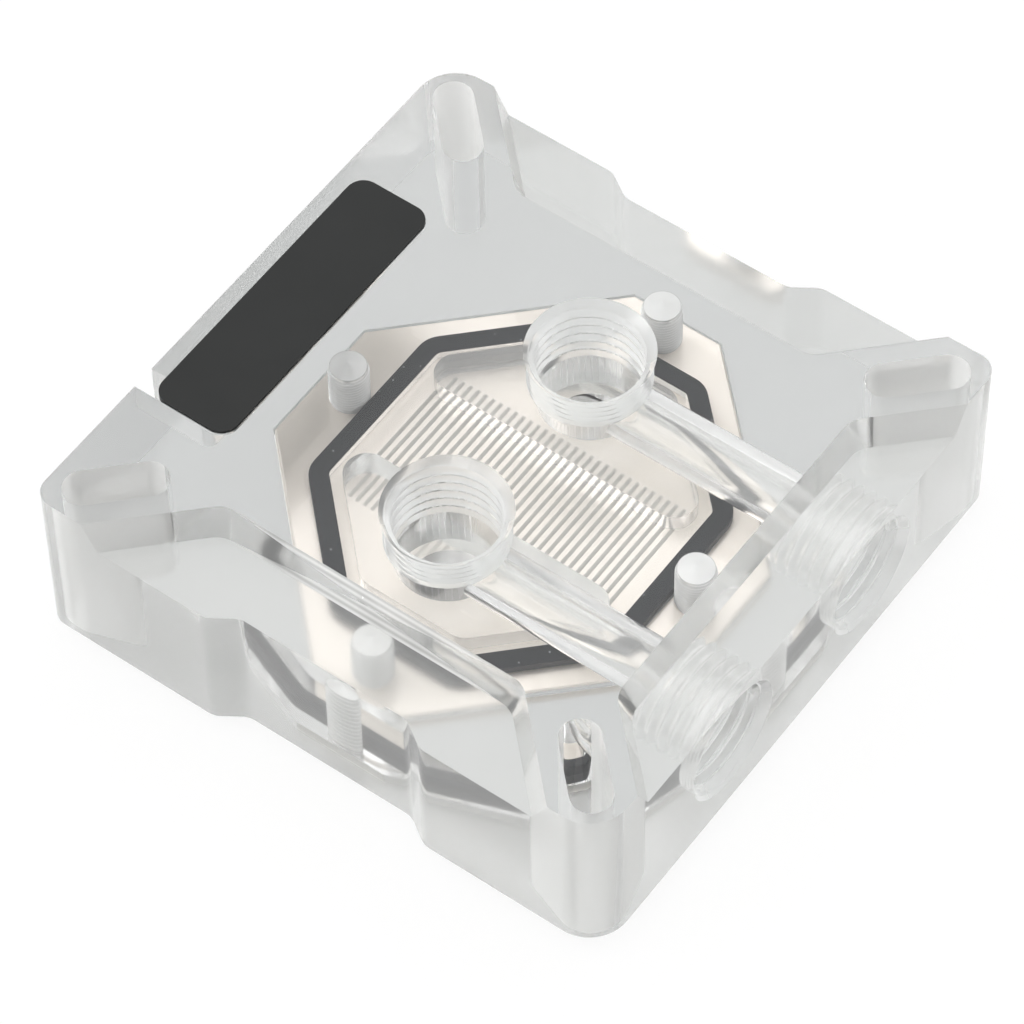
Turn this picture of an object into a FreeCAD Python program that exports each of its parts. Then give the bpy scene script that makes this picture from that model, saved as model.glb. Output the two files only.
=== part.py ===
import FreeCAD, Part

import math
import os

# Liquid cooling block for a graphics processor: a clear milled top on a nickel-plated cold plate.
# All sizes are in millimetres.
# The origin is the centre of the cold plate's contact face, +Z points up through the clear top,
# and +X points to the side that carries the two side ports.

# Clear top: overall block
BLOCK_SIDE_X = 70.0
BLOCK_SIDE_Y = 70.0
BLOCK_HEIGHT = 21.0
BLUNT_CORNER_RADIUS = 4.6
TIGHT_CORNER_RADIUS = 2.2
PLATE_STAND_OUT = 1.5

# Clear top: shallow waist milled into the middle of the +Y and -Y sides
WAIST_HALF_LENGTH = 10.3
WAIST_DEPTH = 2.0
WAIST_RAMP = 3.0
WAIST_RADIUS = 2.4

# Clear top: shoulders milled down along three sides, which leave an arm at each corner
SHOULDER_DEPTH = 3.4
SHOULDER_DRAFT = 1.3
SHOULDER_RADIUS = 3.0
SHOULDER_WIDTH_Y = 10.3
SHOULDER_HALF_LENGTH_Y = 18.4
SHOULDER_WIDTH_X = 8.5
SHOULDER_HALF_LENGTH_X = 20.4

# Clear top: mounting slots through the corner arms, along the diagonals
SLOT_WIDTH = 4.4
SLOT_NEAR_PITCH = 53.2
SLOT_FAR_PITCH = 62.6

# Coolant ports: two in the top face and two in the +X face, at their thread's minor radius
PORT_PITCH = 24.6
PORT_RADIUS = 5.72
PORT_MOUTH_RADIUS = 6.88
TOP_PORT_DEPTH = 13.0
SIDE_PORT_DEPTH = 9.0
FEED_HOLE_RADIUS = 4.3
SIDE_PORT_HEIGHT = 10.1
CROSS_DRILL_RADIUS = 3.5

# Cold plate: an eight-sided plate, let into the underside of the clear top; the rims are the
# distances from the plate's edges to the centres of its screws
PLATE_RIM_X = 3.9
PLATE_RIM_Y = 2.9
PLATE_CORNER_CUT = 20.3
PLATE_THICKNESS = 2.8
PLATE_FIT_GAP = 0.15
PLATE_EDGE_BREAK = 0.2

# Cold plate: cooling fins, cut as a comb of grooves across the width of the plenums
FIN_PITCH = 0.97
FIN_SIDE_MARGIN = 0.7
FIN_GROOVE_WIDTH = 0.45
FIN_GROOVE_DEPTH = 1.6
FIN_HALF_LENGTH = 9.4

# Plenums: two pockets in the underside of the clear top, one at each end of the fins
POOL_HALF_X = 16.2
POOL_HALF_Y = 18.9
POOL_CORNER_CUT = 10.0
POOL_BRIDGE_HALF_WIDTH = 5.4
POOL_DEPTH = 3.5
POOL_CORNER_RADIUS = 2.4

# Seal: a ring of square-section cord in a groove that follows the plenums at a distance
SEAL_OFFSET = 2.35
SEAL_WIDTH = 1.75
SEAL_HEIGHT = 1.5
SEAL_SIDE_GAP = 0.2
SEAL_CORNER_RADIUS = 2.0

# Plate screws: countersunk screws from below, one at each point of the plate; the walls are what
# is left between the seal's groove and the tapped holes
SCREW_WALL_X = 0.275
SCREW_WALL_Y = 0.875
SCREW_RADIUS = 1.95
SCREW_LENGTH = 10.0
SCREW_HEAD_RADIUS = 2.6
SCREW_HEAD_SINK = 0.1
SCREW_SOCKET_ACROSS_FLATS = 2.5
SCREW_SOCKET_DEPTH = 1.5
SCREW_TIP_CHAMFER = 0.4
SCREW_HOLE_GAP = 0.15
TAPPED_HOLE_GAP = 0.05
TAPPED_HOLE_DEPTH = 9.2

# Light pocket: a channel behind a thin wall on the -X side, with a cover in a rebate
POCKET_WALL = 2.0
POCKET_WIDTH = 7.5
POCKET_START_Y = -18.3
POCKET_END_Y = 16.0
POCKET_DEPTH = 6.0
POCKET_RADIUS = 1.2
COVER_WIDTH = 9.6
COVER_LENGTH = 35.2
COVER_THICKNESS = 0.8
COVER_PROUD = 0.3
COVER_RADIUS = 2.0
COVER_GAP = 0.05
LEAD_NOTCH_WIDTH = 2.8

# Levels and lines that follow from the sizes above
TOP_UNDERSIDE = PLATE_STAND_OUT
TOP_FACE = TOP_UNDERSIDE + BLOCK_HEIGHT
HALF_X = BLOCK_SIDE_X / 2
HALF_Y = BLOCK_SIDE_Y / 2
PORT_Y = PORT_PITCH / 2
SIDE_PORT_Z = TOP_UNDERSIDE + SIDE_PORT_HEIGHT
SHOULDER_FLOOR = TOP_FACE - SHOULDER_DEPTH
POCKET_OUTER_X = -HALF_X + POCKET_WALL
GROOVE_REACH = SEAL_OFFSET + SEAL_WIDTH / 2 + SEAL_SIDE_GAP
TAPPED_HOLE_RADIUS = SCREW_RADIUS + TAPPED_HOLE_GAP
SCREW_X = POOL_HALF_X + GROOVE_REACH + SCREW_WALL_X + TAPPED_HOLE_RADIUS
SCREW_Y = POOL_HALF_Y + GROOVE_REACH + SCREW_WALL_Y + TAPPED_HOLE_RADIUS
SCREW_CENTRES = [(SCREW_X, 0), (0, SCREW_Y), (-SCREW_X, 0), (0, -SCREW_Y)]
PLATE_HALF_X = SCREW_X + PLATE_RIM_X
PLATE_HALF_Y = SCREW_Y + PLATE_RIM_Y
UP = FreeCAD.Vector(0, 0, 1)

# How far a cutter reaches past the face it opens
OVERSHOOT = 1.0


def point(x, y, z=0.0):
    """Vector with height zero unless one is given."""
    return FreeCAD.Vector(x, y, z)


def rounded_polygon(corners, radii, z):
    """Closed wire at height z through the corners, each rounded by a tangent arc of its own radius."""
    count = len(corners)
    starts = []
    middles = []
    ends = []
    for index in range(count):
        here = point(*corners[index])
        to_last = (point(*corners[index - 1]) - here).normalize()
        to_next = (point(*corners[(index + 1) % count]) - here).normalize()
        half_angle = to_last.getAngle(to_next) / 2
        radius = radii[index]
        setback = radius / math.tan(half_angle)
        bisector = (to_last + to_next).normalize()
        centre = here + bisector * (radius / math.sin(half_angle))
        starts.append(here + to_last * setback)
        middles.append(centre - bisector * radius)
        ends.append(here + to_next * setback)
    lift = point(0, 0, z)
    edges = []
    for index in range(count):
        if radii[index] > 0:
            arc = Part.Arc(starts[index] + lift, middles[index] + lift, ends[index] + lift)
            edges.append(arc.toShape())
        following = (index + 1) % count
        edges.append(Part.makeLine(ends[index] + lift, starts[following] + lift))
    return Part.Wire(edges)


def prism(wire, height):
    """Solid that stands on a closed wire."""
    return Part.Face(wire).extrude(UP * height)


def octagon(half_x, half_y, corner_cut, growth=0.0):
    """Corners of a rectangle with its corners cut at 45 degrees, and all sides moved out by growth."""
    wide = half_x + growth
    long = half_y + growth
    cut = corner_cut + growth * (2 - math.sqrt(2))
    return [
        (wide, cut - long), (wide, long - cut), (wide - cut, long), (cut - wide, long),
        (-wide, long - cut), (-wide, cut - long), (cut - wide, -long), (wide - cut, -long),
    ]


def upright_cylinder(radius, x, y, bottom, top):
    """Cylinder round a vertical axis, between two heights."""
    return Part.makeCylinder(radius, top - bottom, point(x, y, bottom), UP)


def block_outline():
    """Outline of the clear top: two tight and two blunt corners, and a waist in the +Y and -Y sides."""
    waist_y = HALF_Y - WAIST_DEPTH
    ramp_x = WAIST_HALF_LENGTH + WAIST_RAMP
    upper = [
        (HALF_X, HALF_Y), (ramp_x, HALF_Y), (WAIST_HALF_LENGTH, waist_y),
        (-WAIST_HALF_LENGTH, waist_y), (-ramp_x, HALF_Y), (-HALF_X, HALF_Y),
    ]
    lower = [(-x, -y) for x, y in upper]
    side_radii = [TIGHT_CORNER_RADIUS] + [WAIST_RADIUS] * 4 + [BLUNT_CORNER_RADIUS]
    return rounded_polygon(upper + lower, side_radii + side_radii, TOP_UNDERSIDE)


def shoulder_cutter(half_side, width, half_length, turn):
    """Tapered cutter that mills one side down to the shoulder floor, with ends at 45 degrees."""
    rise = SHOULDER_DEPTH + OVERSHOOT
    top_inset = SHOULDER_DRAFT * (1 - rise / SHOULDER_DEPTH)
    levels = [(SHOULDER_FLOOR, SHOULDER_DRAFT), (SHOULDER_FLOOR + rise, top_inset)]
    wires = []
    for z, inset in levels:
        near = half_side - width + inset
        near_half = half_length + inset - inset * math.sqrt(2)
        far = half_side + SHOULDER_RADIUS
        far_half = near_half + far - near
        corners = [(near, -near_half), (far, -far_half), (far, far_half), (near, near_half)]
        radii = [SHOULDER_RADIUS, 0, 0, SHOULDER_RADIUS]
        wires.append(rounded_polygon(corners, radii, z))
    cutter = Part.makeLoft(wires, True, True)
    cutter.rotate(point(0, 0), UP, turn)
    return cutter


def corner_slot(turn):
    """Cutter for one mounting slot, from its near stud position to its far one."""
    near = SLOT_NEAR_PITCH / 2 * math.sqrt(2)
    far = SLOT_FAR_PITCH / 2 * math.sqrt(2)
    half = SLOT_WIDTH / 2
    bottom = TOP_UNDERSIDE - OVERSHOOT
    top = TOP_FACE + OVERSHOOT
    middle = Part.makeBox(far - near, SLOT_WIDTH, top - bottom, point(near, -half, bottom))
    ends = [upright_cylinder(half, x, 0, bottom, top) for x in (near, far)]
    cutter = middle.fuse(ends).removeSplitter()
    cutter.rotate(point(0, 0), UP, turn)
    return cutter


def port_cutter(depth):
    """Bore of a port with a 45 degree countersunk mouth, opening at z = 0 and running down."""
    bore = upright_cylinder(PORT_RADIUS, 0, 0, -depth, OVERSHOOT)
    sink = PORT_MOUTH_RADIUS - PORT_RADIUS
    mouth = Part.makeCone(
        PORT_RADIUS, PORT_MOUTH_RADIUS + OVERSHOOT, sink + OVERSHOOT, point(0, 0, -sink), UP
    )
    return bore.fuse(mouth)


def top_port(side):
    """Port in the top face, with the feed hole that runs on down into its plenum."""
    cutter = port_cutter(TOP_PORT_DEPTH)
    cutter.translate(point(0, side * PORT_Y, TOP_FACE))
    plenum_roof = PLATE_THICKNESS + POOL_DEPTH
    port_floor = TOP_FACE - TOP_PORT_DEPTH
    feed = upright_cylinder(
        FEED_HOLE_RADIUS, 0, side * PORT_Y, plenum_roof - OVERSHOOT, port_floor + OVERSHOOT
    )
    return cutter.fuse(feed)


def side_port(side):
    """Port in the +X face, with the cross drilling that meets the top port."""
    cutter = port_cutter(SIDE_PORT_DEPTH)
    cutter.rotate(point(0, 0), point(0, 1, 0), 90)
    cutter.translate(point(HALF_X, side * PORT_Y, SIDE_PORT_Z))
    run = HALF_X - SIDE_PORT_DEPTH + OVERSHOOT
    start = point(0, side * PORT_Y, SIDE_PORT_Z)
    drill = Part.makeCylinder(CROSS_DRILL_RADIUS, run, start, point(1, 0, 0))
    return cutter.fuse(drill)


def plenum(side):
    """Pocket over one end of the fins: an eight-sided pool, less the bridge across its middle."""
    run_x = POOL_HALF_X - POOL_CORNER_CUT
    run_y = POOL_HALF_Y - POOL_CORNER_CUT
    corners = [
        (POOL_HALF_X, POOL_BRIDGE_HALF_WIDTH), (POOL_HALF_X, run_y), (run_x, POOL_HALF_Y),
        (-run_x, POOL_HALF_Y), (-POOL_HALF_X, run_y), (-POOL_HALF_X, POOL_BRIDGE_HALF_WIDTH),
    ]
    edge_run = run_y - POOL_BRIDGE_HALF_WIDTH
    end_radius = min(POOL_CORNER_RADIUS, 0.7 * edge_run)
    side_radius = min(POOL_CORNER_RADIUS, 0.6 * edge_run)
    radii = [end_radius, side_radius, POOL_CORNER_RADIUS, POOL_CORNER_RADIUS, side_radius, end_radius]
    wire = rounded_polygon(corners, radii, PLATE_THICKNESS - OVERSHOOT)
    cutter = prism(wire, POOL_DEPTH + OVERSHOOT)
    if side < 0:
        cutter.rotate(point(0, 0), UP, 180)
    return cutter


def octagonal_ring(width, height, bottom):
    """Ring of the given width on the seal's centre line."""
    half = width / 2
    outer = octagon(POOL_HALF_X, POOL_HALF_Y, POOL_CORNER_CUT, SEAL_OFFSET + half)
    inner = octagon(POOL_HALF_X, POOL_HALF_Y, POOL_CORNER_CUT, SEAL_OFFSET - half)
    outside = prism(rounded_polygon(outer, [SEAL_CORNER_RADIUS + half] * 8, bottom), height)
    inside = prism(rounded_polygon(inner, [SEAL_CORNER_RADIUS - half] * 8, bottom), height)
    return outside.cut(inside)


def light_pocket():
    """Channel for a light strip, its lead notch through the -X wall, and the cover's rebate."""
    inner_x = POCKET_OUTER_X + POCKET_WIDTH
    floor = TOP_FACE - POCKET_DEPTH
    channel_corners = [
        (POCKET_OUTER_X, POCKET_START_Y), (inner_x, POCKET_START_Y),
        (inner_x, POCKET_END_Y), (POCKET_OUTER_X, POCKET_END_Y),
    ]
    channel_radii = [0, POCKET_RADIUS, POCKET_RADIUS, POCKET_RADIUS]
    channel = prism(rounded_polygon(channel_corners, channel_radii, floor), POCKET_DEPTH + OVERSHOOT)
    notch = Part.makeBox(
        POCKET_WALL + POCKET_RADIUS + OVERSHOOT, LEAD_NOTCH_WIDTH, POCKET_DEPTH + OVERSHOOT,
        point(-HALF_X - OVERSHOOT, POCKET_START_Y, floor),
    )
    rebate_floor = TOP_FACE + COVER_PROUD - COVER_THICKNESS
    rebate = prism(cover_outline(COVER_GAP, rebate_floor), COVER_THICKNESS + OVERSHOOT)
    return channel.fuse([notch, rebate])


def cover_outline(growth, z):
    """Outline of the pocket's cover; its near end lines up with the near end of the channel."""
    left = POCKET_OUTER_X + COVER_GAP - growth
    right = POCKET_OUTER_X + COVER_GAP + COVER_WIDTH + growth
    near = POCKET_START_Y + COVER_GAP - growth
    far = POCKET_START_Y + COVER_GAP + COVER_LENGTH + growth
    corners = [(left, near), (right, near), (right, far), (left, far)]
    return rounded_polygon(corners, [COVER_RADIUS + growth] * 4, z)


def make_acrylic_top():
    """The clear top, milled from one block."""
    top = prism(block_outline(), BLOCK_HEIGHT)
    cutters = [
        shoulder_cutter(HALF_X, SHOULDER_WIDTH_X, SHOULDER_HALF_LENGTH_X, 0),
        shoulder_cutter(HALF_Y, SHOULDER_WIDTH_Y, SHOULDER_HALF_LENGTH_Y, 90),
        shoulder_cutter(HALF_Y, SHOULDER_WIDTH_Y, SHOULDER_HALF_LENGTH_Y, -90),
    ]
    cutters += [corner_slot(turn) for turn in (45, 135, 225, 315)]
    for side in (-1, 1):
        cutters += [top_port(side), side_port(side), plenum(side)]
    seat = octagon(PLATE_HALF_X, PLATE_HALF_Y, PLATE_CORNER_CUT, PLATE_FIT_GAP)
    seat_wire = rounded_polygon(seat, [0] * len(seat), TOP_UNDERSIDE - OVERSHOOT)
    cutters.append(prism(seat_wire, PLATE_THICKNESS - TOP_UNDERSIDE + OVERSHOOT))
    cutters.append(octagonal_ring(SEAL_WIDTH + 2 * SEAL_SIDE_GAP, SEAL_HEIGHT, PLATE_THICKNESS))
    for x, y in SCREW_CENTRES:
        bottom = PLATE_THICKNESS - OVERSHOOT
        roof = PLATE_THICKNESS + TAPPED_HOLE_DEPTH
        cutters.append(upright_cylinder(TAPPED_HOLE_RADIUS, x, y, bottom, roof))
    cutters.append(light_pocket())
    for cutter in cutters:
        top = top.cut(cutter)
    return top.removeSplitter()


def screw_head():
    """Countersunk head, 90 degrees, with its flat face on z = 0 and its narrow end up."""
    height = SCREW_HEAD_RADIUS - SCREW_RADIUS
    return Part.makeCone(SCREW_HEAD_RADIUS, SCREW_RADIUS, height, point(0, 0), UP)


def make_cold_plate():
    """The cold plate: edge breaks all round, the comb of fins, and four countersunk holes."""
    corners = octagon(PLATE_HALF_X, PLATE_HALF_Y, PLATE_CORNER_CUT)
    plate = prism(rounded_polygon(corners, [0] * len(corners), 0), PLATE_THICKNESS)
    rims = [edge for edge in plate.Edges if abs(edge.Vertexes[0].Z - edge.Vertexes[1].Z) < 1e-6]
    plate = plate.makeChamfer(PLATE_EDGE_BREAK, rims)
    comb_width = 2 * (POOL_HALF_X - FIN_SIDE_MARGIN) - FIN_GROOVE_WIDTH
    last = int(comb_width / FIN_PITCH)
    floor = PLATE_THICKNESS - FIN_GROOVE_DEPTH
    grooves = []
    for index in range(last + 1):
        left = (index - last / 2) * FIN_PITCH - FIN_GROOVE_WIDTH / 2
        grooves.append(Part.makeBox(
            FIN_GROOVE_WIDTH, 2 * FIN_HALF_LENGTH, FIN_GROOVE_DEPTH + OVERSHOOT,
            point(left, -FIN_HALF_LENGTH, floor),
        ))
    plate = plate.cut(Part.makeCompound(grooves))
    for x, y in SCREW_CENTRES:
        top = PLATE_THICKNESS + OVERSHOOT
        hole = upright_cylinder(SCREW_RADIUS + SCREW_HOLE_GAP, x, y, -OVERSHOOT, top)
        seat = screw_head()
        seat.translate(point(x, y, SCREW_HEAD_SINK))
        entry = upright_cylinder(SCREW_HEAD_RADIUS, x, y, -OVERSHOOT, SCREW_HEAD_SINK)
        plate = plate.cut(hole.fuse([seat, entry]))
    return plate


def make_seal_ring():
    """The seal, pressed to the depth of its groove between the cold plate and the clear top."""
    return octagonal_ring(SEAL_WIDTH, SEAL_HEIGHT, PLATE_THICKNESS)


def make_screw():
    """One countersunk socket screw, head down, standing on z = 0."""
    head = screw_head()
    tip = SCREW_TIP_CHAMFER
    shank = upright_cylinder(SCREW_RADIUS, 0, 0, 0, SCREW_LENGTH - tip)
    point_cone = Part.makeCone(
        SCREW_RADIUS, SCREW_RADIUS - tip, tip, point(0, 0, SCREW_LENGTH - tip), UP
    )
    corner_reach = SCREW_SOCKET_ACROSS_FLATS / math.sqrt(3)
    corners = [
        (corner_reach * math.cos(math.radians(angle)), corner_reach * math.sin(math.radians(angle)))
        for angle in range(0, 360, 60)
    ]
    socket = prism(rounded_polygon(corners, [0] * 6, -OVERSHOOT), SCREW_SOCKET_DEPTH + OVERSHOOT)
    return head.fuse([shank, point_cone]).cut(socket).removeSplitter()


def make_plate_screws():
    """The four like screws, as a group of separate solids."""
    screws = []
    for x, y in SCREW_CENTRES:
        screw = make_screw()
        screw.translate(point(x, y, SCREW_HEAD_SINK))
        screws.append(screw)
    return Part.makeCompound(screws)


def make_pocket_cover():
    """The thin black cover over the light pocket."""
    bottom = TOP_FACE + COVER_PROUD - COVER_THICKNESS
    return prism(cover_outline(0, bottom), COVER_THICKNESS)


NODES = {
    "acrylic_top": make_acrylic_top,
    "cold_plate": make_cold_plate,
    "seal_ring": make_seal_ring,
    "plate_screws": make_plate_screws,
    "pocket_cover": make_pocket_cover,
}

os.makedirs("parts", exist_ok=True)
for node, make in NODES.items():
    shape = make()
    shape.exportStep("parts/" + node + ".step")
    print(node, len(shape.Solids), "solids, valid:", shape.isValid(), "volume:", round(shape.Volume, 1))
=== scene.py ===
import math

import bmesh
import bpy
from mathutils import Matrix, Vector


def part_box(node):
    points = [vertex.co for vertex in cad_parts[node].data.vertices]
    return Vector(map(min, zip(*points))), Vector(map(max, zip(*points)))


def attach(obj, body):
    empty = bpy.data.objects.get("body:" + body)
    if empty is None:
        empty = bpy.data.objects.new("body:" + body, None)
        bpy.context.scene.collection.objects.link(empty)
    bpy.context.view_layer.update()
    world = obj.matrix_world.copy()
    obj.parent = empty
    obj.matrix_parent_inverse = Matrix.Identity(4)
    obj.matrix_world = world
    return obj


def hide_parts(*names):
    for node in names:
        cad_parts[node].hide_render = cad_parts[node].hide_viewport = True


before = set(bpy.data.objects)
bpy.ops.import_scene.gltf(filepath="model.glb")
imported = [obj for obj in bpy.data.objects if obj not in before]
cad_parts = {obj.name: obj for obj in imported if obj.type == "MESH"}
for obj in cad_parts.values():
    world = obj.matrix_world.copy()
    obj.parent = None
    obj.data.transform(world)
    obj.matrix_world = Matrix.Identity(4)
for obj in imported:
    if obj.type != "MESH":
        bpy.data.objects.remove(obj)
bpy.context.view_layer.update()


# Clear top
# One block of cast acrylic, milled all over and polished on its top face. The shoulders and tapped
# holes stay cloudy, the G1/4 port threads are cut last, and the greased seal wets its groove.
MM = 0.001
HAIR = 0.02 * MM
MARK_DEPTH = 0.02 * MM
TOP_LOW, TOP_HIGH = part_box("acrylic_top")
PLATE_LOW, PLATE_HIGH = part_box("cold_plate")
SHOULDER_DEPTH = 3.4 * MM
PORT_PITCH = 24.6 * MM
PORT_DEPTH = 13.0 * MM
PORT_THREAD_LENGTH = 9.0 * MM
PORT_THREAD_PITCH = 1.337 * MM
PORT_MINOR_RADIUS = 5.62 * MM
PORT_MAJOR_RADIUS = 6.58 * MM
SIDE_PORT_HEIGHT = 10.1 * MM
SCREW_PLACES = ((21.9, 0), (0, 25.2), (-21.9, 0), (0, -25.2))
TAPPED_DEPTH = 9.2 * MM
TAPPED_THREAD_LENGTH = 8.8 * MM
TAPPED_THREAD_PITCH = 0.7 * MM
TAPPED_MINOR_RADIUS = 1.97 * MM
TAPPED_MAJOR_RADIUS = 2.2 * MM
DRILL_POINT_DEPTH = 1.0 * MM
THREAD_CREST = 0.12
THREAD_FLANK = 1.3

# Where the tools have worked, in mm.
SKIN = 0.01
SEAT_REACH = (27, 29)
PORT_REACH = 7.2
SCREW_REACH = 2.4
DRILLING_REACH = 3.6
DRILLING_ENDS = (4, 26.1)
GROOVE_OUTLINE = (19.6, 22.3, 29.9)
GROOVE_DEPTH = 1.5
FIN_ROOF_OUTLINE = (17.5, 20.2, 27)
PLENUM_OUTLINE = (16.3, 19, 25.3)
PLENUM_DEPTH = 3.6
SLOT_HALF_WIDTH = 3.3
SLOT_ENDS = (36, 46.7)
POCKET_REACH = (-23, 18.6)
POCKET_DEPTH = 6.1
BLOCK_SIDE = 34.9
WAIST_SIDE = 32.9
CORNER_SIDE = 31.9


def shade_smooth(mesh, sharp_angle=28):
    """Joins a mesh's doubled points and shades it smooth, with its sharp edges kept."""
    work = bmesh.new()
    work.from_mesh(mesh)
    bmesh.ops.remove_doubles(work, verts=work.verts, dist=1e-7)
    for face in work.faces:
        face.smooth = True
    for edge in work.edges:
        edge.smooth = edge.is_manifold and edge.calc_face_angle(0) < math.radians(sharp_angle)
    work.to_mesh(mesh)
    work.free()


def merged_copy(node, name):
    """A copy of a CAD node as one closed, smooth-shaded mesh."""
    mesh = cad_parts[node].data.copy()
    mesh.name = name
    shade_smooth(mesh)
    mesh.materials.clear()
    if "custom_normal" in mesh.attributes:
        mesh.attributes.remove(mesh.attributes["custom_normal"])
    piece = bpy.data.objects.new(name, mesh)
    bpy.context.collection.objects.link(piece)
    return piece


def node_material(name):
    """A new material, with its nodes, its links and its Principled BSDF."""
    material = bpy.data.materials.new(name)
    material.use_nodes = True
    nodes = material.node_tree.nodes
    return material, nodes, material.node_tree.links, nodes["Principled BSDF"]


def acrylic(name, tint, clearness, roughness, mark_scale, mark_strength=0.0, stretch=(1, 1, 1),
            pitch=0.0):
    """Clear acrylic that lets lamps through, with the haze and marks that its last tool left, and,
    given a pitch, darker bands of painted shade at the thread pitch.
    """
    material, nodes, links, body = node_material(name)
    body.inputs["Base Color"].default_value = (*tint, 1)
    body.inputs["IOR"].default_value = 1.49
    body.inputs["Transmission Weight"].default_value = clearness
    place = nodes.new("ShaderNodeTexCoord")
    along = nodes.new("ShaderNodeMapping")
    along.inputs["Scale"].default_value = stretch
    marks = nodes.new("ShaderNodeTexNoise")
    marks.inputs["Scale"].default_value = mark_scale
    marks.inputs["Detail"].default_value = 4.0
    haze = nodes.new("ShaderNodeMapRange")
    haze.inputs["To Min"].default_value = roughness[0]
    haze.inputs["To Max"].default_value = roughness[1]
    open_way = nodes.new("ShaderNodeBsdfTransparent")
    open_way.inputs["Color"].default_value = (*tint, 1)
    path = nodes.new("ShaderNodeLightPath")
    choose = nodes.new("ShaderNodeMixShader")
    links.new(place.outputs["Object"], along.inputs["Vector"])
    links.new(along.outputs["Vector"], marks.inputs["Vector"])
    links.new(marks.outputs["Fac"], haze.inputs["Value"])
    links.new(haze.outputs["Result"], body.inputs["Roughness"])
    if mark_strength:
        bump = nodes.new("ShaderNodeBump")
        bump.inputs["Strength"].default_value = mark_strength
        bump.inputs["Distance"].default_value = MARK_DEPTH
        links.new(marks.outputs["Fac"], bump.inputs["Height"])
        links.new(bump.outputs["Normal"], body.inputs["Normal"])
    # Darker bands at the thread pitch are painted shade of the thread flanks, not a colour of the
    # acrylic.
    if pitch:
        turns = nodes.new("ShaderNodeTexWave")
        turns.bands_direction = "Z"
        turns.inputs["Scale"].default_value = math.pi / 10 / pitch
        tone = nodes.new("ShaderNodeMix")
        tone.data_type = "RGBA"
        tone.inputs["A"].default_value = (*(0.66 * value for value in tint), 1)
        tone.inputs["B"].default_value = (*tint, 1)
        links.new(place.outputs["Object"], turns.inputs["Vector"])
        links.new(turns.outputs["Fac"], tone.inputs["Factor"])
        links.new(tone.outputs["Result"], body.inputs["Base Color"])
    links.new(path.outputs["Is Shadow Ray"], choose.inputs["Fac"])
    links.new(body.outputs["BSDF"], choose.inputs[1])
    links.new(open_way.outputs["BSDF"], choose.inputs[2])
    links.new(choose.outputs["Shader"], nodes["Material Output"].inputs["Surface"])
    return material


def rubber(name):
    """Black rubber, satin, with sparse specks of dust."""
    material, nodes, links, body = node_material(name)
    place = nodes.new("ShaderNodeTexCoord")
    dust = nodes.new("ShaderNodeTexVoronoi")
    dust.inputs["Scale"].default_value = 1000
    spot = nodes.new("ShaderNodeMapRange")
    spot.inputs["From Min"].default_value = 0.06
    spot.inputs["From Max"].default_value = 0.13
    spot.inputs["To Min"].default_value = 1.0
    spot.inputs["To Max"].default_value = 0.0
    rare = nodes.new("ShaderNodeMath")
    rare.operation = "GREATER_THAN"
    rare.inputs[1].default_value = 0.72
    both = nodes.new("ShaderNodeMath")
    both.operation = "MULTIPLY"
    tone = nodes.new("ShaderNodeMix")
    tone.data_type = "RGBA"
    tone.inputs["A"].default_value = (0.012, 0.014, 0.018, 1)
    tone.inputs["B"].default_value = (0.30, 0.32, 0.34, 1)
    body.inputs["Roughness"].default_value = 0.42
    body.inputs["Specular IOR Level"].default_value = 0.25
    links.new(place.outputs["Object"], dust.inputs["Vector"])
    links.new(dust.outputs["Distance"], spot.inputs["Value"])
    links.new(dust.outputs["Color"], rare.inputs[0])
    links.new(spot.outputs["Result"], both.inputs[0])
    links.new(rare.outputs[0], both.inputs[1])
    links.new(both.outputs[0], tone.inputs["Factor"])
    links.new(tone.outputs["Result"], body.inputs["Base Color"])
    return material


POLISHED = acrylic("polished_acrylic", (0.94, 0.945, 0.945), 0.98, (0.01, 0.04), 60)
MILLED = acrylic(
    "milled_acrylic", (0.86, 0.865, 0.855), 0.78, (0.08, 0.15), 1400, 0.1, (1, 1, 0.02)
)
CLOUDY = acrylic("cloudy_acrylic", (0.86, 0.865, 0.855), 0.78, (0.13, 0.24), 400)
DRILLED = acrylic(
    "drilled_acrylic", (0.92, 0.92, 0.91), 0.84, (0.12, 0.22), 1400, 0.3, (0.03, 1, 1)
)
FROSTED = acrylic("frosted_acrylic", (0.95, 0.955, 0.95), 0.72, (0.14, 0.24), 1500)
ROUGHED = acrylic("roughed_acrylic", (0.985, 0.985, 0.98), 0.3, (0.16, 0.28), 1500)
# Tapped holes: whitish haze, with rings of painted shade at the thread pitch.
TAPPED_PAINTED_SHADE = acrylic(
    "tapped_thread", (0.985, 0.985, 0.98), 0.35, (0.2, 0.3), 1500, pitch=TAPPED_THREAD_PITCH
)
WETTED = rubber("rubber_on_acrylic")
# Satin underside and seat walls: the haze is real, but the dark grey tint is painted shade. It
# stands in for the shaded floor seen through the block.
SATIN_PAINTED_SHADE = acrylic("satin_underside", (0.42, 0.435, 0.43), 0.9, (0.38, 0.50), 300)


def eased(piece, level, shift):
    """Moves a piece's face at one level by a hair, so that it doesn't lie in the face it touches."""
    for vertex in piece.data.vertices:
        if abs(vertex.co.z - level) < 1e-6:
            vertex.co.z += shift


def number(tree, kind, first, second=None):
    """One Math node, fed by sockets or plain numbers."""
    node = tree.nodes.new("ShaderNodeMath")
    node.operation = kind
    for socket, value in zip(node.inputs, (first, second)):
        if value is None:
            continue
        if isinstance(value, (int, float)):
            socket.default_value = value
        else:
            tree.links.new(value, socket)
    return node.outputs[0]


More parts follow.
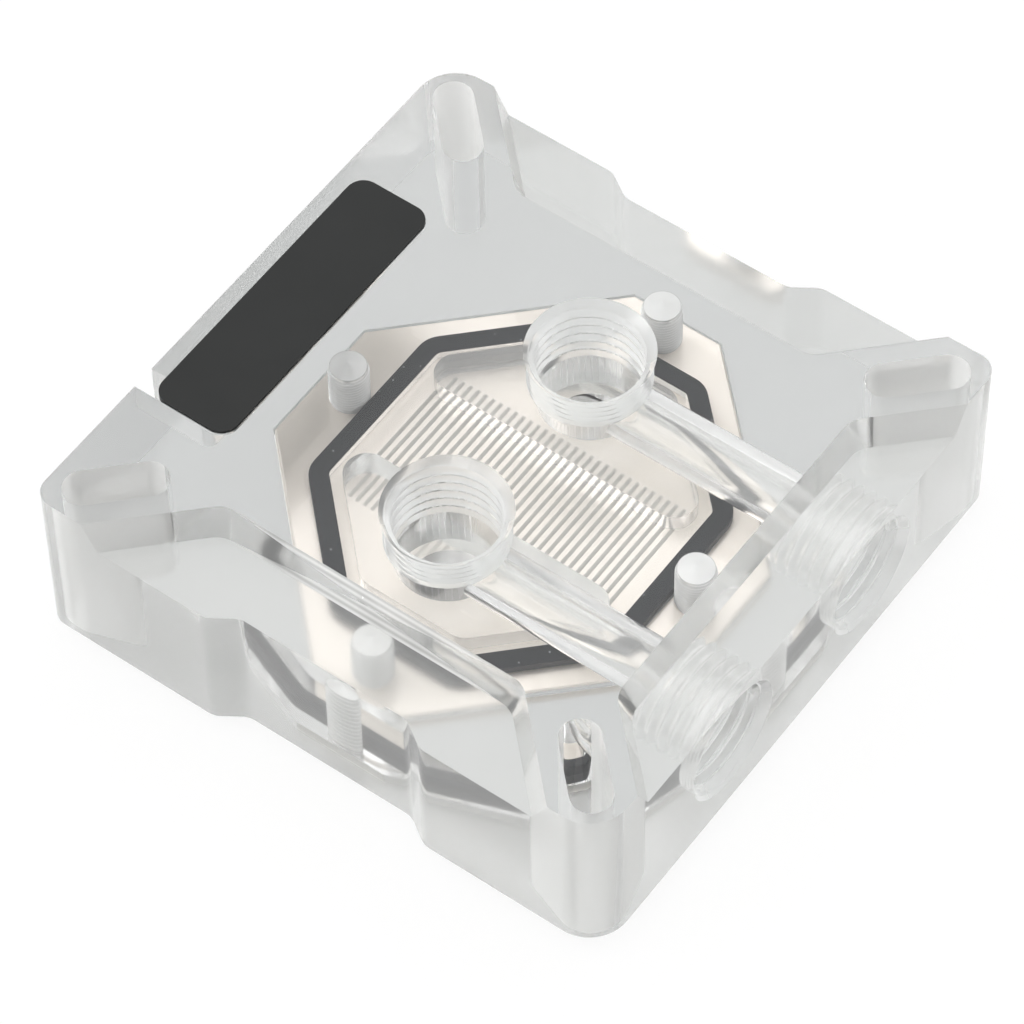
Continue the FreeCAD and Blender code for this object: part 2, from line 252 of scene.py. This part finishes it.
def thread_tree():
    """Geometry Nodes for a thread cutter: a grid rolled into a closed, threaded plug along +Z."""
    tree = bpy.data.node_groups.new("thread_cutter", "GeometryNodeTree")
    sizes = {
        "Minor Radius": "NodeSocketFloat", "Major Radius": "NodeSocketFloat",
        "Pitch": "NodeSocketFloat", "Length": "NodeSocketFloat",
        "Steps Around": "NodeSocketInt", "Steps Along": "NodeSocketInt",
        "Material": "NodeSocketMaterial",
    }
    for name, kind in sizes.items():
        tree.interface.new_socket(name, in_out="INPUT", socket_type=kind)
    tree.interface.new_socket("Geometry", in_out="OUTPUT", socket_type="NodeSocketGeometry")
    size = tree.nodes.new("NodeGroupInput").outputs
    grid = tree.nodes.new("GeometryNodeMeshGrid")
    grid.inputs["Size X"].default_value = 1
    grid.inputs["Size Y"].default_value = 1
    tree.links.new(number(tree, "ADD", size["Steps Along"], 1), grid.inputs["Vertices X"])
    tree.links.new(number(tree, "ADD", size["Steps Around"], 1), grid.inputs["Vertices Y"])
    where = tree.nodes.new("GeometryNodeInputPosition")
    split = tree.nodes.new("ShaderNodeSeparateXYZ")
    tree.links.new(where.outputs[0], split.inputs[0])
    share = number(tree, "ADD", split.outputs["Y"], 0.5)
    row = number(tree, "MULTIPLY", number(tree, "ADD", split.outputs["X"], 0.5), size["Steps Along"])
    row = number(tree, "ROUND", row)
    last_row = number(tree, "SUBTRACT", size["Steps Along"], 1)
    inner_row = number(tree, "MINIMUM", number(tree, "MAXIMUM", row, 1), last_row)
    height = number(
        tree, "DIVIDE", number(tree, "SUBTRACT", inner_row, 1), number(tree, "SUBTRACT", last_row, 1)
    )
    height = number(tree, "MULTIPLY", height, size["Length"])
    turns = number(tree, "SUBTRACT", number(tree, "DIVIDE", height, size["Pitch"]), share)
    phase = number(tree, "FRACT", number(tree, "ADD", turns, 64))
    wave = number(tree, "SUBTRACT", number(tree, "MULTIPLY", phase, 2), 1)
    wave = number(tree, "SUBTRACT", 1, number(tree, "ABSOLUTE", wave))
    ridge = number(tree, "SUBTRACT", wave, THREAD_CREST)
    ridge = number(tree, "MULTIPLY", ridge, THREAD_FLANK)
    ridge = number(tree, "MINIMUM", number(tree, "MAXIMUM", ridge, 0), 1)
    run_out = number(tree, "DIVIDE", height, size["Pitch"])
    run_out = number(tree, "MINIMUM", run_out, 1)
    swell = number(tree, "MULTIPLY", number(tree, "MULTIPLY", ridge, run_out),
                   number(tree, "SUBTRACT", size["Major Radius"], size["Minor Radius"]))
    radius = number(tree, "ADD", size["Minor Radius"], swell)
    is_wall = number(tree, "COMPARE", row, inner_row)
    radius = number(tree, "MULTIPLY", radius, is_wall)
    angle = number(tree, "MULTIPLY", share, 2 * math.pi)
    join = tree.nodes.new("ShaderNodeCombineXYZ")
    for way, axis in (("COSINE", "X"), ("SINE", "Y")):
        reach = number(tree, "MULTIPLY", radius, number(tree, way, angle))
        tree.links.new(reach, join.inputs[axis])
    tree.links.new(height, join.inputs["Z"])
    place = tree.nodes.new("GeometryNodeSetPosition")
    tree.links.new(grid.outputs["Mesh"], place.inputs["Geometry"])
    tree.links.new(join.outputs[0], place.inputs["Position"])
    weld = tree.nodes.new("GeometryNodeMergeByDistance")
    weld.inputs["Distance"].default_value = 1e-7
    real = tree.nodes.new("GeometryNodeRealizeInstances")
    paint = tree.nodes.new("GeometryNodeSetMaterial")
    out = tree.nodes.new("NodeGroupOutput")
    tree.links.new(place.outputs["Geometry"], weld.inputs["Geometry"])
    tree.links.new(weld.outputs["Geometry"], real.inputs["Geometry"])
    tree.links.new(real.outputs["Geometry"], paint.inputs["Geometry"])
    tree.links.new(size["Material"], paint.inputs["Material"])
    tree.links.new(paint.outputs["Geometry"], out.inputs["Geometry"])
    return tree


THREAD_TREE = thread_tree()


def thread_cutter(name, place, **sizes):
    """A threaded plug that starts deep in its hole and comes out of the mouth along its own +Z."""
    holder = bpy.data.objects.new(name, bpy.data.meshes.new(name))
    bpy.context.collection.objects.link(holder)
    modifier = holder.modifiers.new("thread", "NODES")
    modifier.node_group = THREAD_TREE
    for item in THREAD_TREE.interface.items_tree:
        key = item.name.lower().replace(" ", "_")
        if key in sizes:
            modifier[item.identifier] = sizes[key]
    graph = bpy.context.evaluated_depsgraph_get()
    mesh = bpy.data.meshes.new_from_object(holder.evaluated_get(graph))
    bpy.data.objects.remove(holder)
    work = bmesh.new()
    work.from_mesh(mesh)
    bmesh.ops.recalc_face_normals(work, faces=work.faces)
    for face in work.faces:
        face.smooth = True
    work.to_mesh(mesh)
    work.free()
    mesh.transform(place)
    cutter = bpy.data.objects.new(name, mesh)
    bpy.context.collection.objects.link(cutter)
    return cutter


def port_cutters():
    """Thread cutters of the two top ports and the two side ports."""
    cutters = []
    reach = PORT_THREAD_LENGTH + 0.3 * MM
    for side in (-1, 1):
        y = side * PORT_PITCH / 2
        top = Matrix.Translation((0, y, TOP_HIGH.z - PORT_THREAD_LENGTH))
        side_start = (TOP_HIGH.x - PORT_THREAD_LENGTH, y, TOP_LOW.z + SIDE_PORT_HEIGHT)
        out = Matrix.Translation(side_start) @ Matrix.Rotation(math.radians(90), 4, "Y")
        for place in (top, out):
            cutters.append(thread_cutter(
                "port_thread", place,
                minor_radius=PORT_MINOR_RADIUS, major_radius=PORT_MAJOR_RADIUS,
                pitch=PORT_THREAD_PITCH, length=reach,
                steps_around=96, steps_along=58, material=FROSTED,
            ))
    return cutters


def tapped_cutters():
    """Thread cutters and drill points of the four blind holes over the plate screws."""
    cutters = []
    for x, y in SCREW_PLACES:
        start = Vector((x * MM, y * MM, PLATE_HIGH.z))
        place = Matrix.Translation(start + Vector((0, 0, TAPPED_THREAD_LENGTH)))
        cutters.append(thread_cutter(
            "tapped_thread", place @ Matrix.Rotation(math.pi, 4, "X"),
            minor_radius=TAPPED_MINOR_RADIUS, major_radius=TAPPED_MAJOR_RADIUS,
            pitch=TAPPED_THREAD_PITCH, length=TAPPED_THREAD_LENGTH + 0.1 * MM,
            steps_around=40, steps_along=96, material=TAPPED_PAINTED_SHADE,
        ))
        point = bpy.data.meshes.new("drill_point")
        work = bmesh.new()
        middle = TAPPED_DEPTH + DRILL_POINT_DEPTH / 2 - HAIR
        bmesh.ops.create_cone(
            work, cap_ends=True, segments=40, radius1=TAPPED_MINOR_RADIUS, radius2=0.05 * MM,
            depth=DRILL_POINT_DEPTH, matrix=Matrix.Translation(start + Vector((0, 0, middle))),
        )
        for face in work.faces:
            face.smooth = True
        work.to_mesh(point)
        work.free()
        point.materials.append(ROUGHED)
        cutter = bpy.data.objects.new("drill_point", point)
        bpy.context.collection.objects.link(cutter)
        cutters.append(cutter)
    return cutters


def within(x, y, outline):
    """Whether a place lies inside an eight-sided outline round the middle."""
    return x < outline[0] and y < outline[1] and x + y < outline[2]


def last_tool(centre, normal):
    """The finish that a face of the bare block has from the last tool that cut it."""
    x, y, z = (value / MM for value in (abs(centre.x), abs(centre.y), centre.z))
    out = centre.x / MM
    top, plate, underside = TOP_HIGH.z / MM, PLATE_HIGH.z / MM, TOP_LOW.z / MM
    upright, facing_down = abs(normal.z) < 0.3, normal.z < -0.99
    port_y = PORT_PITCH / MM / 2
    side_port_z = underside + SIDE_PORT_HEIGHT / MM
    thread = PORT_THREAD_LENGTH / MM

    on_seat_wall = upright and z < plate - SKIN and x < SEAT_REACH[0] and y < SEAT_REACH[1]
    if facing_down and z < underside + SKIN or on_seat_wall:
        return SATIN_PAINTED_SHADE
    if normal.z > 0.99 and z > top - SKIN:
        return POLISHED

    from_top_port = math.hypot(x, y - port_y)
    from_side_port = math.hypot(z - side_port_z, y - port_y)
    in_side_thread = from_side_port < PORT_REACH and out > TOP_HIGH.x / MM - thread + 0.1
    if from_top_port < PORT_REACH and z > top - thread or in_side_thread:
        return FROSTED
    if min(math.hypot(out - a, centre.y / MM - b) for a, b in SCREW_PLACES) < SCREW_REACH:
        return TAPPED_PAINTED_SHADE
    if from_top_port < PORT_REACH and z > top - PORT_DEPTH / MM - SKIN:
        return CLOUDY

    across = max(x / GROOVE_OUTLINE[0], y / GROOVE_OUTLINE[1], (x + y) / GROOVE_OUTLINE[2])
    in_groove = upright and plate < z < plate + 1.4
    on_roof = facing_down and abs(z - plate - GROOVE_DEPTH) < SKIN and across < 1.04
    if in_groove and 0.96 < across < 1.04 or on_roof:
        return WETTED
    in_slot = abs(x - y) < SLOT_HALF_WIDTH and SLOT_ENDS[0] < math.hypot(x, y) < SLOT_ENDS[1]
    if in_groove and 0.9 < across < 0.94 or upright and in_slot:
        return ROUGHED

    beside_drilling = max(abs(y - port_y), abs(z - side_port_z)) < DRILLING_REACH
    in_drilling = beside_drilling and DRILLING_ENDS[0] < out < DRILLING_ENDS[1]
    over_fins = facing_down and abs(z - plate) < SKIN and within(x, y, FIN_ROOF_OUTLINE)
    in_plenum = within(x, y, PLENUM_OUTLINE) and plate + SKIN < z < plate + PLENUM_DEPTH
    if in_drilling or over_fins or in_plenum:
        return DRILLED

    in_pocket = out < POCKET_REACH[0] and y < POCKET_REACH[1]
    on_shoulder = z > top - SHOULDER_DEPTH / MM - SKIN
    if in_pocket and (on_shoulder or z > top - POCKET_DEPTH and x < BLOCK_SIDE):
        return FROSTED
    if upright and (x > BLOCK_SIDE or y > WAIST_SIDE or min(x, y) > CORNER_SIDE):
        return MILLED
    return CLOUDY if on_shoulder else POLISHED


FINISHES = [POLISHED, MILLED, CLOUDY, DRILLED, FROSTED, ROUGHED, TAPPED_PAINTED_SHADE, WETTED, SATIN_PAINTED_SHADE]
clear_top = merged_copy("acrylic_top", "clear_top")
for material in FINISHES:
    clear_top.data.materials.append(material)
for face in clear_top.data.polygons:
    face.material_index = FINISHES.index(last_tool(face.center, face.normal))
for cutter in port_cutters() + tapped_cutters():
    cut = clear_top.modifiers.new("cut", "BOOLEAN")
    cut.operation = "DIFFERENCE"
    cut.solver = "EXACT"
    cut.material_mode = "TRANSFER"
    cut.object = cutter
    finished = bpy.data.meshes.new_from_object(
        clear_top.evaluated_get(bpy.context.evaluated_depsgraph_get())
    )
    clear_top.modifiers.clear()
    clear_top.data = finished
    bpy.data.objects.remove(cutter)
finished.name = "clear_top"
shade_smooth(finished)
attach(clear_top, "root")
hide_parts("acrylic_top")


# Cold plate
# Copper, machined flat with a comb of fins cut by a gang of saws, then nickel plated all over.
# It is screwed up into its seat in the clear top, and its underside is polished.
COMB_HALF_WIDTH = 15.8 * MM
COMB_HALF_LENGTH = 9.41 * MM


def nickel(name, dark, light, metallic):
    """Satin nickel with the faint lines of fly cutting and a warm cast from the copper below."""
    material, nodes, links, body = node_material(name)
    body.inputs["Metallic"].default_value = metallic
    place = nodes.new("ShaderNodeTexCoord")
    stretch = nodes.new("ShaderNodeMapping")
    stretch.inputs["Scale"].default_value = (1, 0.06, 1)
    lines = nodes.new("ShaderNodeTexNoise")
    lines.inputs["Scale"].default_value = 900
    lines.inputs["Detail"].default_value = 5
    cloud = nodes.new("ShaderNodeTexNoise")
    cloud.inputs["Scale"].default_value = 110
    tone = nodes.new("ShaderNodeMix")
    tone.data_type = "RGBA"
    tone.inputs["A"].default_value = (*dark, 1)
    tone.inputs["B"].default_value = (*light, 1)
    grade = nodes.new("ShaderNodeMapRange")
    grade.inputs["To Min"].default_value = 0.36
    grade.inputs["To Max"].default_value = 0.50
    bump = nodes.new("ShaderNodeBump")
    bump.inputs["Strength"].default_value = 0.12
    bump.inputs["Distance"].default_value = MARK_DEPTH
    links.new(place.outputs["Object"], stretch.inputs["Vector"])
    links.new(stretch.outputs["Vector"], lines.inputs["Vector"])
    links.new(place.outputs["Object"], cloud.inputs["Vector"])
    links.new(cloud.outputs["Fac"], tone.inputs["Factor"])
    links.new(tone.outputs["Result"], body.inputs["Base Color"])
    links.new(lines.outputs["Fac"], grade.inputs["Value"])
    links.new(grade.outputs["Result"], body.inputs["Roughness"])
    links.new(lines.outputs["Fac"], bump.inputs["Height"])
    links.new(bump.outputs["Normal"], body.inputs["Normal"])
    return material


cold_plate = merged_copy("cold_plate", "finned_plate")
satin = nickel("satin_nickel", (0.95, 0.88, 0.81), (0.98, 0.915, 0.85), 1.0)
sawn = nickel("sawn_nickel", (0.98, 0.955, 0.92), (1.0, 0.98, 0.95), 0.0)
for material in (satin, sawn):
    cold_plate.data.materials.append(material)
for face in cold_plate.data.polygons:
    in_comb = abs(face.center.x) < COMB_HALF_WIDTH and abs(face.center.y) < COMB_HALF_LENGTH
    face.material_index = int(in_comb and 0.1 * MM < face.center.z < PLATE_HIGH.z - 0.01 * MM)
eased(cold_plate, PLATE_HIGH.z, -HAIR)
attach(cold_plate, "root")
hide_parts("cold_plate")


# Seal ring
# Black rubber cord, moulded to the outline of its groove and pressed flat between the plate and
# the clear top, with a little dust on it.
seal_ring = merged_copy("seal_ring", "seal_cord")
seal_ring.data.materials.append(rubber("black_rubber"))
for level, shift in zip(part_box("seal_ring"), (HAIR, -HAIR)):
    eased(seal_ring, level.z, shift)
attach(seal_ring, "root")
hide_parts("seal_ring")


# Plate screws
# Four small-head countersunk socket screws in stainless steel, driven from below through the
# plate into the tapped holes of the clear top.
def screw_steel(name):
    """Plain stainless steel with fine turning marks."""
    material, nodes, links, body = node_material(name)
    body.inputs["Metallic"].default_value = 1.0
    body.inputs["Base Color"].default_value = (0.78, 0.78, 0.78, 1)
    place = nodes.new("ShaderNodeTexCoord")
    marks = nodes.new("ShaderNodeTexNoise")
    marks.inputs["Scale"].default_value = 1800
    grade = nodes.new("ShaderNodeMapRange")
    grade.inputs["To Min"].default_value = 0.22
    grade.inputs["To Max"].default_value = 0.42
    links.new(place.outputs["Object"], marks.inputs["Vector"])
    links.new(marks.outputs["Fac"], grade.inputs["Value"])
    links.new(grade.outputs["Result"], body.inputs["Roughness"])
    return material


plate_screws = merged_copy("plate_screws", "socket_screws")
plate_screws.data.materials.append(screw_steel("stainless_steel"))
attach(plate_screws, "root")
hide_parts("plate_screws")


# Cover of the light pocket
# Thin black plastic sheet, laser cut, so its real edges are paler than its satin face; here one
# satin black covers face and edges alike.
# It is glued into the rebate over the pocket and stands a little proud of the top face.
def cover_black(name):
    """Satin black sheet with faint rubs and dust on its face."""
    material, nodes, links, body = node_material(name)
    place = nodes.new("ShaderNodeTexCoord")
    rubs = nodes.new("ShaderNodeTexNoise")
    rubs.inputs["Scale"].default_value = 160
    rubs.inputs["Detail"].default_value = 6
    tone = nodes.new("ShaderNodeMix")
    tone.data_type = "RGBA"
    body.inputs["Specular IOR Level"].default_value = 0.25
    tone.inputs["A"].default_value = (0.014, 0.015, 0.015, 1)
    tone.inputs["B"].default_value = (0.022, 0.023, 0.023, 1)
    grade = nodes.new("ShaderNodeMapRange")
    grade.inputs["To Min"].default_value = 0.38
    grade.inputs["To Max"].default_value = 0.52
    links.new(place.outputs["Object"], rubs.inputs["Vector"])
    links.new(rubs.outputs["Fac"], tone.inputs["Factor"])
    links.new(tone.outputs["Result"], body.inputs["Base Color"])
    links.new(rubs.outputs["Fac"], grade.inputs["Value"])
    links.new(grade.outputs["Result"], body.inputs["Roughness"])
    return material


pocket_cover = merged_copy("pocket_cover", "black_cover")
pocket_cover.data.materials.append(cover_black("satin_black"))
eased(pocket_cover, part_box("pocket_cover")[0].z, HAIR)
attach(pocket_cover, "root")
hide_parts("pocket_cover")


# Floor, lamps and camera
# A white sheet under the block, two large soft lamps and the photograph's high corner view.
PAPER_GLOW = 0.85
PAPER_GLOW_THROUGH = 0.45


def white_paper(name):
    """Matt white paper that keeps a soft shadow and shows as white."""
    material, nodes, links, paper = node_material(name)
    paper.inputs["Base Color"].default_value = (0.90, 0.90, 0.90, 1)
    paper.inputs["Roughness"].default_value = 0.9
    glow = nodes.new("ShaderNodeEmission")
    glow.inputs["Strength"].default_value = 1.0
    path = nodes.new("ShaderNodeLightPath")
    direct = nodes.new("ShaderNodeMath")
    direct.operation = "MULTIPLY"
    direct.inputs[1].default_value = PAPER_GLOW
    mirrored = nodes.new("ShaderNodeMath")
    mirrored.operation = "MULTIPLY_ADD"
    mirrored.inputs[1].default_value = PAPER_GLOW
    through = nodes.new("ShaderNodeMath")
    through.operation = "MULTIPLY_ADD"
    through.inputs[1].default_value = PAPER_GLOW_THROUGH
    through.use_clamp = True
    mix = nodes.new("ShaderNodeMixShader")
    links.new(path.outputs["Is Camera Ray"], direct.inputs[0])
    links.new(path.outputs["Is Glossy Ray"], mirrored.inputs[0])
    links.new(direct.outputs[0], mirrored.inputs[2])
    links.new(path.outputs["Is Transmission Ray"], through.inputs[0])
    links.new(mirrored.outputs[0], through.inputs[2])
    links.new(through.outputs[0], mix.inputs["Fac"])
    links.new(paper.outputs["BSDF"], mix.inputs[1])
    links.new(glow.outputs["Emission"], mix.inputs[2])
    links.new(mix.outputs["Shader"], nodes["Material Output"].inputs["Surface"])
    return material


bpy.ops.mesh.primitive_plane_add(size=4, location=(0, 0, -0.05 * MM))
floor = bpy.context.object
floor.name = "floor"
floor.data.materials.append(white_paper("white_paper"))

world = bpy.data.worlds.new("studio")
bpy.context.scene.world = world
world.use_nodes = True
sky = world.node_tree.nodes
sky_links = world.node_tree.links
fill = sky["Background"]
fill.inputs["Color"].default_value = (1.0, 0.995, 0.98, 1)
fill.inputs["Strength"].default_value = 0.72
shown = sky.new("ShaderNodeBackground")
shown.inputs["Strength"].default_value = 1.0
ray = sky.new("ShaderNodeLightPath")
seen_first = sky.new("ShaderNodeMath")
seen_first.operation = "MAXIMUM"
seen_any = sky.new("ShaderNodeMath")
seen_any.operation = "MAXIMUM"
either = sky.new("ShaderNodeMixShader")
sky_links.new(ray.outputs["Is Camera Ray"], seen_first.inputs[0])
sky_links.new(ray.outputs["Is Glossy Ray"], seen_first.inputs[1])
sky_links.new(seen_first.outputs[0], seen_any.inputs[0])
sky_links.new(ray.outputs["Is Transmission Ray"], seen_any.inputs[1])
sky_links.new(seen_any.outputs[0], either.inputs["Fac"])
sky_links.new(fill.outputs["Background"], either.inputs[1])
sky_links.new(shown.outputs["Background"], either.inputs[2])
sky_links.new(either.outputs["Shader"], sky["World Output"].inputs["Surface"])


def soft_lamp(name, place, size, watts):
    """A square soft lamp that looks at the block."""
    data = bpy.data.lights.new(name, "AREA")
    data.size = size
    data.energy = watts
    lamp = bpy.data.objects.new(name, data)
    lamp.location = place
    lamp.rotation_mode = "QUATERNION"
    lamp.rotation_quaternion = (-Vector(place)).to_track_quat("-Z", "Y")
    bpy.context.collection.objects.link(lamp)


soft_lamp("left_lamp", (-0.45, -0.25, 0.55), 0.8, 3.5)
soft_lamp("back_lamp", (0.15, 0.55, 0.6), 1.1, 2.6)

CAMERA_AZIMUTH = math.radians(36.893)
CAMERA_ELEVATION = math.radians(54.342)
CAMERA_ROLL = math.radians(-1.085)
CAMERA_TARGET = Vector((-0.123, -1.324, 9.616)) * MM
CAMERA_DISTANCE = 554.1 * MM
CAMERA_LENS = 189.64

back = Vector((
    math.sin(CAMERA_AZIMUTH) * math.cos(CAMERA_ELEVATION),
    -math.cos(CAMERA_AZIMUTH) * math.cos(CAMERA_ELEVATION),
    math.sin(CAMERA_ELEVATION),
))
level = Vector((math.cos(CAMERA_AZIMUTH), math.sin(CAMERA_AZIMUTH), 0))
upward = back.cross(level)
right = level * math.cos(CAMERA_ROLL) + upward * math.sin(CAMERA_ROLL)
upward = upward * math.cos(CAMERA_ROLL) - level * math.sin(CAMERA_ROLL)
camera_data = bpy.data.cameras.new("camera")
camera_data.lens = CAMERA_LENS
camera_data.sensor_width = 36
camera_data.clip_start = 0.01
camera_data.clip_end = 10
camera = bpy.data.objects.new("camera", camera_data)
camera.matrix_world = Matrix.Translation(CAMERA_TARGET + back * CAMERA_DISTANCE) @ Matrix((
    right, upward, back,
)).transposed().to_4x4()
bpy.context.collection.objects.link(camera)
bpy.context.scene.camera = camera
bpy.context.scene.view_settings.view_transform = "Standard"
bpy.context.scene.cycles.max_bounces = 24
bpy.context.scene.cycles.transmission_bounces = 24
bpy.context.scene.cycles.glossy_bounces = 16
bpy.context.scene.cycles.transparent_max_bounces = 24
